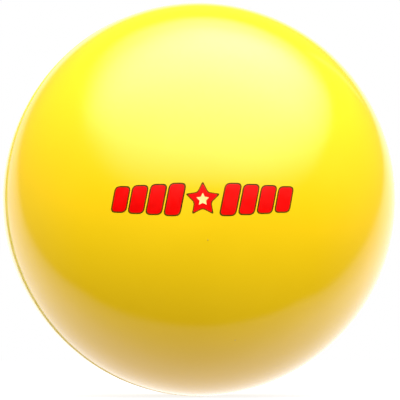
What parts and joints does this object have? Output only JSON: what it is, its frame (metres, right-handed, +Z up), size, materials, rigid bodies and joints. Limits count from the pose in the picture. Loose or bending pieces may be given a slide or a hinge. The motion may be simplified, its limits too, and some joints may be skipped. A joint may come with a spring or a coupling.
{
  "type": "playground ball",
  "caption": "Moulded two-ply rubber playground ball with a self-sealing needle valve, thread-wound and air-filled.",
  "frame": {"origin": "centre of the ball", "axes": "+Y out through the valve, square to the parting line of the mould; +Z up; the printed face looks along -Y"},
  "size_m": [0.2162, 0.216, 0.2162],
  "materials": {
    "cover": "gloss",
    "print": "gloss",
    "thread": "matte",
    "bladder": "satin",
    "valve": "satin"
  },
  "bodies": {
    "root": {"front_cover_half": "cover", "rear_cover_half": "cover", "thread_winding": "thread", "bladder": "bladder", "valve_patch": "bladder", "valve_housing": "valve", "valve_core": "valve"}
  },
  "joints": []
}
